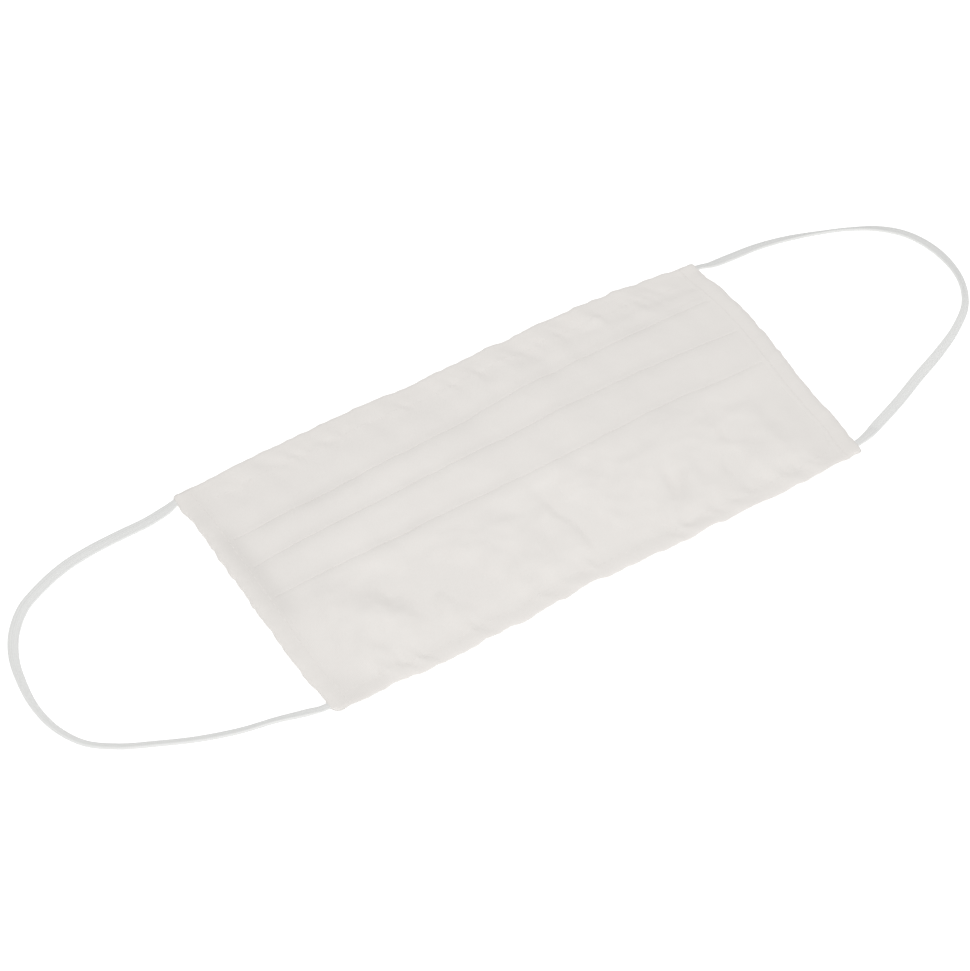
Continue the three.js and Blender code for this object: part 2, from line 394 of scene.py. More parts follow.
class StudioSettings(PropertyGroup):
    """Camera and light"""

    azimuth: FloatProperty(
        name="Azimuth", description="Where the camera stands round the mask",
        default=math.radians(-31.43), unit="ROTATION", subtype="ANGLE",
    )
    elevation: FloatProperty(
        name="Elevation", description="How high the camera looks down from",
        default=math.radians(50.4), unit="ROTATION", subtype="ANGLE",
    )
    distance: FloatProperty(
        name="Distance", description="From the camera to the point that it looks at",
        default=0.930, min=0.2, max=5.0, unit="LENGTH", subtype="DISTANCE",
    )
    lens: FloatProperty(
        name="Lens", description="Focal length on a 36 mm sensor",
        default=114.93, min=20.0, max=300.0, subtype="DISTANCE_CAMERA",
    )
    aim: FloatVectorProperty(
        name="Aim", description="Point that the camera looks at",
        default=(-11.3 * MM, 2.1 * MM, 0.0), size=3, precision=5, unit="LENGTH", subtype="TRANSLATION",
    )
    dome: FloatProperty(
        name="Dome light", description="Strength of the even light from all round",
        default=0.69, min=0.0, max=3.0, subtype="FACTOR",
    )
    key: FloatProperty(
        name="Key light", description="Power of the soft light in front of the mask",
        default=2.33, min=0.0, max=200.0, subtype="POWER",
    )
    key_size: FloatProperty(
        name="Key light size", description="Width of the soft light's disk",
        default=0.41, min=0.01, max=3.0, unit="LENGTH", subtype="DISTANCE",
    )
    key_place: FloatVectorProperty(
        name="Key light place", description="Where the soft light stands; it faces the mask",
        default=(-0.136, -0.384, 0.688), size=3, unit="LENGTH", subtype="TRANSLATION",
    )
    floor_tone: FloatProperty(
        name="Floor tone", description="How pale the floor is",
        default=0.35, min=0.0, max=1.0, subtype="FACTOR",
    )
    floor_glow: FloatProperty(
        name="Floor glow", description="Strength of the floor's own even light",
        default=0.85, min=0.0, max=3.0, subtype="FACTOR",
    )


def ease(value, low, high):
    """Smooth rise from 0 at low to 1 at high."""
    share = np.clip((value - low) / (high - low), 0.0, 1.0)
    return share * share * (3.0 - 2.0 * share)


def bell(value, centre, width):
    """Smooth bump that is 1 at its centre and dies away over its width."""
    return np.exp(-(((value - centre) / width) ** 2))


def lumps(x, y, size, seed):
    """Smooth noise from about -1 to 1 over points in millimetres, with lumps of one size."""
    x, y = np.broadcast_arrays(np.asarray(x, float), np.asarray(y, float))
    values = [noise.noise(Vector((a / size, b / size, seed))) for a, b in zip(x.flat, y.flat)]
    return np.array(values).reshape(x.shape)


def along_waves(x, waves, seed):
    """Sum of a table of waves along a line, in millimetres."""
    return sum(wave.height * lumps(x, 0.0, wave.size, seed + wave.shift) for wave in waves)


def hermite(start, end, start_slope, end_slope, share):
    """Cubic from start to end; both slopes are per whole step."""
    square, cube = share**2, share**3
    return (
        start * (2 * cube - 3 * square + 1)
        + start_slope * (cube - 2 * square + share)
        + end * (3 * square - 2 * cube)
        + end_slope * (cube - square)
    )


def through(knots, values, at):
    """Smooth curve through values at knots, read at other places."""
    slopes = np.gradient(values, knots)
    step = np.clip(np.searchsorted(knots, at) - 1, 0, len(knots) - 2)
    width = knots[step + 1] - knots[step]
    share = (at - knots[step]) / width
    return hermite(values[step], values[step + 1], slopes[step] * width, slopes[step + 1] * width, share)


def pattern_line(name, x):
    """Y of one of the pattern's lines at the places x, in millimetres."""
    knots = np.array([row.x for row in PATTERN])
    values = np.array([getattr(row, name) for row in PATTERN])
    return through(knots, values, np.asarray(x, float))


def edge_line(name, x):
    """Nose or chin edge as it lies, with rounded corners and the small waves that its seam draws into it."""
    edge = EDGES[name]
    radius = np.where(np.asarray(x) < 0.0, edge.left_radius, edge.right_radius)
    turned = np.clip((np.abs(x) - HALF_WIDTH) / radius + 1.0, 0.0, 1.0)
    corner = radius * (1.0 - np.sqrt(1.0 - turned**2))
    return pattern_line(name, x) + along_waves(x, EDGE_WAVES, edge.seed) - edge.sign * corner


Stop = namedtuple("Stop", "across height spacing")


class ClothPath:
    """Way of a cloth through its section, given for every column of the sheet at once."""

    def __init__(self, columns, thickness):
        self.columns = columns
        self.thickness = thickness
        self.stops = []

    def to(self, across, height, spacing):
        """Passes a point. Rows from there on lie spacing apart."""
        full = np.ones(self.columns)
        self.stops.append(Stop(across * full, height * full, spacing))

    def fold(self, edge, start, end, side, spacing=0.34):
        """Half turn from one height to another, with its outer face at edge, on one side."""
        radius = np.abs(end - start) / 2
        centre = edge - side * (radius + self.thickness / 2)
        middle = (start + end) / 2
        for angle in np.radians((-90.0, -45.0, 0.0, 45.0, 90.0)):
            height = middle + np.sign(end - start) * radius * math.sin(angle)
            self.to(centre + side * radius * math.cos(angle), height, spacing)

    def rows(self):
        """Smooth rows through the stops: across and height by row and column."""
        places = np.array([(stop.across, stop.height) for stop in self.stops])
        steps = np.diff(places, axis=0)
        chords = np.linalg.norm(steps, axis=1)[:, None, :]
        slopes = steps / chords
        before, after = chords[:-1], chords[1:]
        tangents = np.concatenate([slopes[:1], slopes])
        tangents[1:-1] = (slopes[:-1] * after + slopes[1:] * before) / (before + after)
        placed = []
        for index, chord in enumerate(chords):
            count = max(1, round(float(chord.mean()) / self.stops[index].spacing))
            for share in np.arange(count) / count:
                placed.append(hermite(
                    places[index], places[index + 1],
                    tangents[index] * chord, tangents[index + 1] * chord, share,
                ))
        placed.append(places[-1])
        placed = np.array(placed)
        return placed[:, 0], placed[:, 1]


def row_lengths(points):
    """Length along the cloth of each row of points, as a mean over its columns."""
    steps = np.linalg.norm(np.diff(points, axis=0), axis=2).mean(axis=1)
    return np.concatenate([[0.0], np.cumsum(steps)])


def flat_chart(across, along):
    """UV chart by row and column, from places across and along a piece in millimetres."""
    return np.stack(np.broadcast_arrays(across, along), axis=2)


def mesh_from(name, bm):
    """Mesh of what bm holds. bm is freed."""
    mesh = bpy.data.meshes.new(name)
    bm.to_mesh(mesh)
    bm.free()
    return mesh


def sheet_mesh(name, points, chart, shade=None):
    """Mesh of a grid whose points, UV chart and fold shade are given by row and column, in millimetres."""
    rows, columns = points.shape[:2]
    bm = bmesh.new()
    layer = bm.loops.layers.uv.new(CLOTH_UV)
    shades = bm.verts.layers.float.new(FOLD_SHADE) if shade is not None else None
    bmesh.ops.create_grid(bm, x_segments=columns - 1, y_segments=rows - 1, size=1.0)
    spots = {}
    for vert in bm.verts:
        column = round((vert.co.x + 1.0) / 2.0 * (columns - 1))
        row = round((vert.co.y + 1.0) / 2.0 * (rows - 1))
        spots[vert] = (row, column)
        vert.co = points[row, column] * MM
        if shade is not None:
            vert[shades] = shade[row, column]
    for face in bm.faces:
        face.smooth = True
        for loop in face.loops:
            loop[layer].uv = chart[spots[loop.vert]]
    return mesh_from(name, bm)


def put_in_scene(name, mesh, material):
    """Object for a finished mesh, riding on the mask."""
    piece = bpy.data.objects.new(name, mesh)
    mesh.materials.append(material)
    bpy.context.scene.collection.objects.link(piece)
    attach(piece, BODY)
    return piece


def thicken(piece, thickness):
    """Gives a sheet its thickness, half on each side."""
    wall = piece.modifiers.new("cloth_wall", "SOLIDIFY")
    wall.thickness = thickness
    wall.offset = 0.0
    wall.use_quality_normals = True


def surface_of(name):
    """Search tree of a piece's finished surface."""
    graph = bpy.context.evaluated_depsgraph_get()
    return BVHTree.FromObject(bpy.data.objects[name], graph)


def touch(tree, x, y, downwards=True):
    """Point and normal where a vertical line first meets a surface, in millimetres."""
    sign = 1.0 if downwards else -1.0
    origin = Vector((x, y, 40.0 * sign)) * MM
    place, normal, _, _ = tree.ray_cast(origin, Vector((0.0, 0.0, -sign)))
    if place is None:
        raise RuntimeError(f"no cloth at x {x:.1f} mm, y {y:.1f} mm")
    return place / MM, normal


class NodeBench:
    """Adds nodes to one tree and joins them."""

    def __init__(self, tree):
        self.tree = tree

    def add(self, kind, **settings):
        """New node of a kind, with its settings."""
        node = self.tree.nodes.new(kind)
        for key, value in settings.items():
            setattr(node, key, value)
        return node

    def feed(self, socket, value):
        """Sets a socket to a number or vector, or joins it to an output."""
        if isinstance(value, bpy.types.NodeSocket):
            self.tree.links.new(value, socket)
        else:
            socket.default_value = value

    def math(self, operation, *values):
        """Output of a Math node on numbers or outputs."""
        node = self.add("ShaderNodeMath", operation=operation)
        for socket, value in zip(node.inputs, values):
            self.feed(socket, value)
        return node.outputs[0]

    def scale(self, vector, factors):
        """Output of a vector that is stretched by its axes."""
        node = self.add("ShaderNodeVectorMath", operation="MULTIPLY")
        self.feed(node.inputs[0], vector)
        self.feed(node.inputs[1], factors)
        return node.outputs[0]

    def cloud(self, vector, scale, detail=2.0):
        """Output of soft noise, from 0 to 1."""
        node = self.add("ShaderNodeTexNoise")
        self.feed(node.inputs["Vector"], vector)
        node.inputs["Scale"].default_value = scale
        node.inputs["Detail"].default_value = detail
        return node.outputs["Fac"]


def new_group(name, inputs, outputs):
    """Empty shader node group with float or vector inputs and float outputs."""
    group = bpy.data.node_groups.new(name, "ShaderNodeTree")
    for label, kind in inputs:
        group.interface.new_socket(label, in_out="INPUT", socket_type=kind)
    for label in outputs:
        group.interface.new_socket(label, in_out="OUTPUT", socket_type="NodeSocketFloat")
    bench = NodeBench(group)
    return group, bench, bench.add("NodeGroupInput"), bench.add("NodeGroupOutput")


def weave_group():
    """Plain weave on a chart in millimetres: thread height, and a tone that is darker between threads as
    painted shade.
    """
    name = "plain_weave"
    if name in bpy.data.node_groups:
        return bpy.data.node_groups[name]
    group, bench, given, result = new_group(
        name,
        (("Place", "NodeSocketVector"), ("Pitch", "NodeSocketFloat"), ("Slub", "NodeSocketFloat")),
        ("Height", "Tone"),
    )
    place, pitch, slub = given.outputs[0], given.outputs[1], given.outputs[2]
    wander = bench.add("ShaderNodeTexNoise")
    bench.feed(wander.inputs["Vector"], place)
    wander.inputs["Scale"].default_value = 0.11
    wander.inputs["Detail"].default_value = 2.0
    shifted = bench.add("ShaderNodeVectorMath", operation="ADD")
    bench.feed(shifted.inputs[0], place)
    bench.feed(shifted.inputs[1], bench.scale(wander.outputs["Color"], (1.1, 1.1, 0.0)))
    split = bench.add("ShaderNodeSeparateXYZ")
    bench.feed(split.inputs[0], shifted.outputs[0])

    def wave(axis):
        turns = bench.math("MULTIPLY", bench.math("DIVIDE", split.outputs[axis], pitch), math.pi)
        return bench.math("SINE", turns)

    def thread(across, along, sense, slub_scale):
        """Height of the threads of one direction, rising and dipping along their length."""
        body = bench.math("POWER", bench.math("ABSOLUTE", across), 0.7)
        dip = bench.math("MULTIPLY", bench.math("SIGN", across), along)
        rise = bench.math("MULTIPLY_ADD", dip, 0.38 * sense, 0.6)
        uneven = bench.cloud(bench.scale(place, slub_scale), 1.0, detail=1.0)
        fuller = bench.math("MULTIPLY_ADD", bench.math("SUBTRACT", uneven, 0.5), slub, 1.0)
        return bench.math("MULTIPLY", bench.math("MULTIPLY", body, rise), fuller)

    warp_wave, weft_wave = wave("X"), wave("Y")
    warp = thread(warp_wave, weft_wave, 1.0, (2.1, 0.10, 0.0))
    weft = thread(weft_wave, warp_wave, -1.0, (0.10, 2.1, 0.0))
    height = bench.math("MAXIMUM", warp, weft)
    bench.feed(result.inputs["Height"], height)
    # Painted shade: the tone is darker where the threads are low, in the gaps between them
    bench.feed(result.inputs["Tone"], bench.math("MINIMUM", height, 1.0))
    return group


def washed_tone_group():
    """Soft uneven tone that washing and pressing leave on white cloth, on object coordinates."""
    name = "washed_tone"
    if name in bpy.data.node_groups:
        return bpy.data.node_groups[name]
    group, bench, given, result = new_group(name, (("Place", "NodeSocketVector"),), ("Tone",))
    broad = bench.cloud(given.outputs[0], 22.0, detail=3.0)
    small = bench.cloud(given.outputs[0], 160.0, detail=2.0)
    mixed = bench.math("MULTIPLY_ADD", bench.math("SUBTRACT", small, 0.5), 0.35, broad)
    bench.feed(result.inputs["Tone"], mixed)
    return group


def start_material(name):
    """Node material with its shader, and a bench to build the rest on."""
    material = bpy.data.materials.new(name)
    material.use_nodes = True
    bench = NodeBench(material.node_tree)
    return material, bench, material.node_tree.nodes["Principled BSDF"]


def toned(bench, colour, tone, low, high):
    """Colour that runs from low to high times itself with a tone between 0 and 1."""
    mix = bench.add("ShaderNodeMix", data_type="RGBA")
    bench.feed(mix.inputs["Factor"], tone)
    mix.inputs["A"].default_value = (*(channel * low for channel in colour), 1.0)
    mix.inputs["B"].default_value = (*(min(channel * high, 1.0) for channel in colour), 1.0)
    return mix.outputs["Result"]


def chart_place(bench):
    """Place on the piece's own chart, in millimetres."""
    return bench.add("ShaderNodeUVMap", uv_map=CLOTH_UV).outputs["UV"]


def washed(bench, tone):
    """A finish's own tone with the uneven tone of washing mixed in."""
    group = bench.add("ShaderNodeGroup", node_tree=washed_tone_group())
    bench.feed(group.inputs["Place"], bench.add("ShaderNodeTexCoord").outputs["Object"])
    uneven = bench.math("MULTIPLY", group.outputs["Tone"], 1.0 - OWN_TONE)
    return bench.math("MULTIPLY_ADD", tone, OWN_TONE, uneven)


def raise_surface(bench, shader, height, distance, strength):
    """Lets a height from 0 to 1 stand off the surface, as bump."""
    bump = bench.add("ShaderNodeBump")
    bump.inputs["Strength"].default_value = strength
    bump.inputs["Distance"].default_value = distance
    bench.feed(bump.inputs["Height"], height)
    bench.feed(shader.inputs["Normal"], bump.outputs["Normal"])


def cotton_finish(name, colour, pitch):
    """Matt off-white plain-weave cotton, darker by the painted shade and lighter by the painted light of the
    cloth's fold shade.
    """
    material, bench, shader = start_material(name)
    weave = bench.add("ShaderNodeGroup", node_tree=weave_group())
    bench.feed(weave.inputs["Place"], chart_place(bench))
    weave.inputs["Pitch"].default_value = pitch
    weave.inputs["Slub"].default_value = 0.5
    shade = bench.add("ShaderNodeAttribute", attribute_name=FOLD_SHADE).outputs["Fac"]
    # Painted shade from the fold shade darkens the colour, and painted light lightens it where the shade is
    # below 0
    tone = bench.math("MULTIPLY_ADD", shade, -0.33, washed(bench, weave.outputs["Tone"]))
    bench.feed(shader.inputs["Base Color"], toned(bench, colour, tone, low=0.90, high=1.08))
    bench.feed(shader.inputs["Roughness"], bench.math("MULTIPLY_ADD", weave.outputs["Tone"], -0.08, 0.95))
    shader.inputs["Specular IOR Level"].default_value = 0.25
    shader.inputs["Sheen Weight"].default_value = 0.12
    shader.inputs["Sheen Roughness"].default_value = 0.5
    raise_surface(bench, shader, weave.outputs["Height"], distance=0.07 * MM, strength=0.55)
    return material


def elastic_finish(name, colour):
    """Matt white knitted elastic: lengthwise ribs of small slanting loops."""
    material, bench, shader = start_material(name)
    split = bench.add("ShaderNodeSeparateXYZ")
    bench.feed(split.inputs[0], chart_place(bench))
    across = bench.math("PINGPONG", split.outputs["X"], ELASTIC_RIB / 2)
    slant = bench.math("DIVIDE", bench.math("ADD", split.outputs["Y"], across), ELASTIC_KNIT)
    knit = bench.math("ABSOLUTE", bench.math("SINE", bench.math("MULTIPLY", slant, math.pi)))
    ribs = bench.math("SINE", bench.math("MULTIPLY", across, math.pi / ELASTIC_RIB))
    height = bench.math("MULTIPLY_ADD", knit, 0.45, bench.math("MULTIPLY", ribs, 0.55))
    # Painted shade: the colour is darker where the knit and its ribs are low
    tone = washed(bench, height)
    bench.feed(shader.inputs["Base Color"], toned(bench, colour, tone, low=0.91, high=1.07))
    bench.feed(shader.inputs["Roughness"], bench.math("MULTIPLY_ADD", knit, -0.12, 0.9))
    shader.inputs["Specular IOR Level"].default_value = 0.3
    shader.inputs["Sheen Weight"].default_value = 0.1
    raise_surface(bench, shader, height, distance=0.12 * MM, strength=0.6)
    return material


def thread_finish(name, colour):
    """Spun cotton thread with its twist."""
    material, bench, shader = start_material(name)
    split = bench.add("ShaderNodeSeparateXYZ")
    bench.feed(split.inputs[0], chart_place(bench))
    around = bench.math("MULTIPLY", split.outputs["X"], 2.0)
    turn = bench.math("MULTIPLY_ADD", split.outputs["Y"], 7.0, around)
    twist = bench.math("ABSOLUTE", bench.math("SINE", bench.math("MULTIPLY", turn, math.pi)))
    # Painted shade: the colour is darker in the grooves of the twist
    tone = washed(bench, twist)
    bench.feed(shader.inputs["Base Color"], toned(bench, colour, tone, low=0.88, high=1.06))
    bench.feed(shader.inputs["Roughness"], bench.math("MULTIPLY_ADD", twist, -0.15, 0.8))
    shader.inputs["Sheen Weight"].default_value = 0.1
    raise_surface(bench, shader, twist, distance=0.05 * MM, strength=0.6)
    return material


def crease_field(x, y):
    """Height of the larger folds and dents at points, in millimetres."""
    total = np.zeros(np.broadcast(x, y).shape)
    for crease in CREASES:
        angle = math.radians(crease.angle)
        dx, dy = x - crease.x, y - crease.y
        along = dx * math.cos(angle) + dy * math.sin(angle)
        across = dy * math.cos(angle) - dx * math.sin(angle)
        total += crease.height * bell(along, 0.0, crease.length) * bell(across, 0.0, crease.width)
    return total


def crumple_field(x, y):
    """Height of the soft crumple all over the cloth, in millimetres."""
    return sum(
        crumple.height
        * lumps((x + crumple.lean * y) * crumple.along, y * crumple.across, crumple.size, crumple.seed)
        for crumple in CRUMPLES
    )


def seam_puckers(name, x, y, line):
    """Puckers along the nose or chin seam: they lean in the hem and run on straighter into the cloth."""
    edge = EDGES[name]
    inside = edge.sign * (line - y) - edge.stitch
    gap = np.abs(inside)
    slant = edge.lean * np.where(inside < 0.0, inside, 0.3 * inside)
    sharp = np.tanh(2.6 * lumps(x + slant, 0.3 * inside, SHARP_PUCKER.size, edge.pucker_seed + 5.0))
    soft = lumps(x + 0.5 * slant, 0.12 * inside, SOFT_PUCKER.size, edge.pucker_seed)
    return edge.pucker * (
        SHARP_PUCKER.height * np.exp(-gap / SHARP_PUCKER.reach) * sharp
        + SOFT_PUCKER.height * np.exp(-gap / SOFT_PUCKER.reach) * soft
    )


def side_slack(x):
    """1 where the cloth lies loose, falling to 0 where the side seams hold it."""
    return 1.0 - ease(np.abs(x), *HELD)


def bowed(x, y):
    """X of points of the cloth once its sides bow out as they lie."""
    rows = np.array([row.y for row in SIDE_BOWS])
    left = through(rows, np.array([row.left for row in SIDE_BOWS]), y)
    right = through(rows, np.array([row.right for row in SIDE_BOWS]), y)
    return x + np.where(x < 0.0, -left, right) * ease(np.abs(x), *BOWED)


def cloth_relief(x, y, nose, chin, sizes):
    """How far the cloth stands off its folded layers at points: crumple, creases and seam puckers."""
    below = ease(pattern_line("lower", x) - y, 1.0, 10.0)
    hem = 1.0 - ease(y - chin, 3.0, 12.0)
    free = (PLEAT_CRUMPLE + CHIN_CRUMPLE * below) * (1.0 - HEM_CALM * hem)
    height = sizes.wrinkle * free * (crease_field(x, y) + crumple_field(x, y))
    puckers = seam_puckers("nose", x, y, nose) + seam_puckers("chin", x, y, chin)
    height = height + sizes.pucker / MM * puckers
    return side_slack(x) * np.maximum(height + LOOSE_LIFT, -DENT_FLOOR * below * (1.0 - hem))


Fold = namedtuple("Fold", "line depth shown")
Layers = namedtuple("Layers", "under middle top")


def pleat_folds(x):
    """Y of each pleat's fold, how far it is folded back and how far it shows, at the columns x."""
    room = 0.5 * (pattern_line("nose", x) - NOSE_HEM - pattern_line("upper", x))
    flat_end = 1.0 - 0.8 * ease(np.abs(x), *FLAT_ENDS)
    flat_right = 1.0 - 0.4 * ease(x, -45.0, -10.0)
    folds = []
    for pleat in PLEATS:
        wander = pleat.wander * along_waves(x, FOLD_WAVES, pleat.seed)
        line = pattern_line(pleat.line, x) + wander * side_slack(x)
        depth = np.minimum(pleat.depth, room) if pleat is PLEATS[0] else np.full(len(x), pleat.depth)
        shown = np.clip(1.0 + along_waves(x, SHOWN_WAVES, pleat.seed), LEAST_SHOWN, MOST_SHOWN)
        folds.append(Fold(line, depth, shown * flat_end * flat_right))
    return folds


def turn_nose_hem(path, nose, slack, layers):
    """Takes the cloth from the nose hem's cut edge round its fold and past its seam."""
    path.to(nose - NOSE_HEM, layers.under, HIDDEN_ROW)
    path.to(nose - NOSE_HEM / 2, layers.under, HIDDEN_ROW)
    path.fold(nose, layers.under, layers.middle, 1.0)
    path.to(nose - 2.8, layers.middle + HEM_PUFF * slack, SHOWN_ROW)
    path.to(nose - 5.0, layers.middle + 0.75 * HEM_PUFF * slack, SHOWN_ROW)
    path.to(nose - NOSE_STITCH, layers.middle + 0.02, SHOWN_ROW)
    path.to(nose - NOSE_HEM - 1.2, layers.middle + 0.06, SHOWN_ROW)


def fold_pleat(path, fold, ramp_end, ramp_top, crown, layers):
    """Takes the cloth over one pleat's band, back and forth under its fold, and out along its ramp."""
    line, depth, shown = fold
    lip = layers.middle + LIP
    foot = lip - STEP * shown
    path.to(line + depth + CREST, layers.top + 0.8 * crown, SHOWN_ROW)
    path.to(line + 0.5 * depth, layers.top + crown, SHOWN_ROW)
    path.to(line + 2.0, layers.top + 0.5 * crown, SHOWN_ROW)
    path.to(line + 0.8, lip + 0.03, 0.5)
    path.fold(line, lip, layers.middle, -1.0)
    path.to(line + depth / 2, layers.middle, HIDDEN_ROW)
    path.fold(line + depth, layers.middle, layers.under, 1.0)
    path.to(line + 2.2, layers.under, HIDDEN_ROW)
    path.to(line + 0.9, layers.under, 0.4)
    path.to(line + 0.25, foot - 0.14, 0.3)
    path.to(line - 0.25, foot, 0.4)
    for share, risen in RAMP:
        path.to(line + (ramp_end - line) * share, foot + (ramp_top - foot) * risen, 0.6)


def turn_chin_hem(path, start, chin, swell, slack, layers):
    """Takes the cloth over the band below the pleats and round the chin hem's fold to its cut edge."""
    path.to(start, layers.under + 0.2 + swell, SHOWN_ROW)
    path.to(chin + 19.0, layers.under + 0.15 + swell, SHOWN_ROW)
    path.to(chin + 10.5, layers.under + 0.2 + 0.75 * swell, SHOWN_ROW)
    path.to(chin + CHIN_HEM + 0.9, layers.middle + 0.1 * slack, SHOWN_ROW)
    path.to(chin + CHIN_STITCH, layers.middle - 0.02, SHOWN_ROW)
    path.to(chin + 2.6, layers.middle + HEM_PUFF * slack, SHOWN_ROW)
    path.fold(chin, layers.middle, layers.under, -1.0)
    path.to(chin + CHIN_HEM / 2, layers.under, HIDDEN_ROW)
    path.to(chin + CHIN_HEM, layers.under, HIDDEN_ROW)


def panel_points(sizes):
    """Points and shade of the pleated cloth by row and column, from the chin hem to the nose hem."""
    thickness, pitch = sizes.thickness / MM, sizes.layer_pitch / MM
    columns = round(2 * PANEL_HALF / COLUMN) + 1
    x = np.linspace(-PANEL_HALF, PANEL_HALF, columns)
    slack = side_slack(x)
    crown, swell = sizes.crown / MM * slack, sizes.swell / MM * slack
    under = thickness / 2 + FLOOR_GAP
    layers = Layers(under, under + pitch, under + 2 * pitch)
    nose, chin, folds = edge_line("nose", x), edge_line("chin", x), pleat_folds(x)
    ramp_ends = [fold.line + fold.depth + CREST for fold in folds[1:]] + [folds[-1].line - CHIN_RAMP]
    ramp_tops = [layers.top + 0.8 * crown] * (len(folds) - 1) + [under + 0.42 + 0.25 * swell]

    path = ClothPath(columns, thickness)
    turn_nose_hem(path, nose, slack, layers)
    for fold, ramp_end, ramp_top in zip(folds, ramp_ends, ramp_tops):
        fold_pleat(path, fold, ramp_end, ramp_top, crown, layers)
    path.to(ramp_ends[-1], ramp_tops[-1], SHOWN_ROW)
    turn_chin_hem(path, folds[-1].line - 16.0, chin, swell, slack, layers)

    y, z = path.rows()
    across = np.broadcast_to(x, y.shape)
    z = np.maximum(np.maximum(z, under) + cloth_relief(across, y, nose, chin, sizes), under)
    z = z + SIDE_LIFT * ease(np.abs(x), *LIFTED)
    shade = fold_shade(across, y, folds, chin)
    return np.stack([bowed(across, y), y, z], axis=2)[::-1], shade[::-1]


def painted_side_shade(inwards, place):
    """Painted shade at distances in from the cloth's side."""
    return place.dull * bell(inwards, place.inwards, place.width)


def side_shade(x, y, chin):
    """Painted shade near the sides: over the left pleat ends, along the edges and in the chin corners."""
    inwards = HALF_WIDTH - np.abs(x)
    on_pleats = ease(y, -17.0, -5.0) * (1.0 - ease(y, 20.0, 31.0))
    in_corner = bell(y - chin, 4.0, 7.0)
    left = on_pleats * painted_side_shade(inwards + 0.06 * y, LEFT_VALLEY) + in_corner * painted_side_shade(inwards, LEFT_CORNER)
    left = left + painted_side_shade(inwards, LEFT_EDGE)
    right = in_corner * painted_side_shade(inwards, RIGHT_CORNER) + painted_side_shade(inwards, RIGHT_EDGE)
    return np.where(x < 0.0, left, right)


def painted_middle_light(x, y, chin):
    """Painted light: how far the cloth is lighter than at its sides, on and just below the pleats, and above
    them.
    """
    on_pleats = ease(x, -88.0, -60.0) * (1.0 - 0.85 * ease(x, 5.0, 75.0)) * ease(y - chin, 6.0, 12.0)
    on_pleats = on_pleats * (1.0 - ease(y, 12.0, 27.0)) * (0.36 - 0.30 * ease(-y, 14.0, 28.0))
    return on_pleats + 0.27 * ease(x, -60.0, 0.0) * ease(y, 10.0, 26.0)


def fold_shade(x, y, folds, chin):
    """Painted shade and light on the cloth: about 1 along pressed folds, 0 at its own colour, below 0 where
    light is painted.
    """
    crease_shade = np.zeros(y.shape)
    for fold in folds:
        crease_shade += (0.35 + 0.65 * fold.shown) * bell(y, fold.line, FOLD_WIDTH)
    crease_shade = crease_shade * (1.0 - ease(np.abs(x), *SHADE_ENDS))
    return FOLD_DARKNESS * crease_shade + side_shade(x, y, chin) - painted_middle_light(x, y, chin)


def pleat_ends(side, y):
    """How far the folded pleat ends push a side edge outwards: most at each fold, nothing below it."""
    push = 0.0
    for pleat in PLEATS:
        above = y - pattern_line(pleat.line, side.sign * HALF_WIDTH)
        push = push + np.exp(-np.maximum(above, 0.0) / 4.0) * ease(above, -0.7, 1.0)
    return push


class SideEdge:
    """Places along one side of the panel, and the cloth that its strip lies on."""

    def __init__(self, side):
        self.sign = side.sign
        self.share = np.linspace(0.0, 1.0, STRIP_COLUMNS)
        self.tree = surface_of("panel_cloth")

    def x(self, inwards):
        """X at distances in from the edge, before the side bows."""
        return self.sign * (HALF_WIDTH - inwards)

    def y(self, inwards):
        """Y along the strip at distances in from the edge; it overlaps the cloth's corners a little."""
        x = self.x(inwards)
        overlap = 0.05 - 0.4 * ease(inwards, 1.0, 4.5)
        low, high = edge_line("chin", x) - overlap, edge_line("nose", x) + overlap
        return low + (high - low) * self.share

    def cloth_top(self, inwards):
        """Height of the cloth under the strip at one distance from the edge: its own and its neighbours'."""
        x = self.x(inwards)
        y = self.y(np.full(STRIP_COLUMNS, inwards))
        y = np.clip(y, edge_line("chin", x) + 0.9, edge_line("nose", x) - 0.9)
        height = np.pad([touch(self.tree, *spot)[0].z for spot in zip(bowed(x, y), y)], 1, mode="edge")
        return np.stack([height[:-2], height[1:-1], height[2:]])

    def carried(self, inwards, softness):
        """Height at which the strip lies on the cloth at one distance from the edge, softened along it."""
        height = self.cloth_top(inwards).max(axis=0)
        kernel = np.exp(-np.linspace(-2.0, 2.0, 2 * softness + 1) ** 2)
        return np.convolve(np.pad(height, softness, mode="edge"), kernel / kernel.sum(), mode="valid")


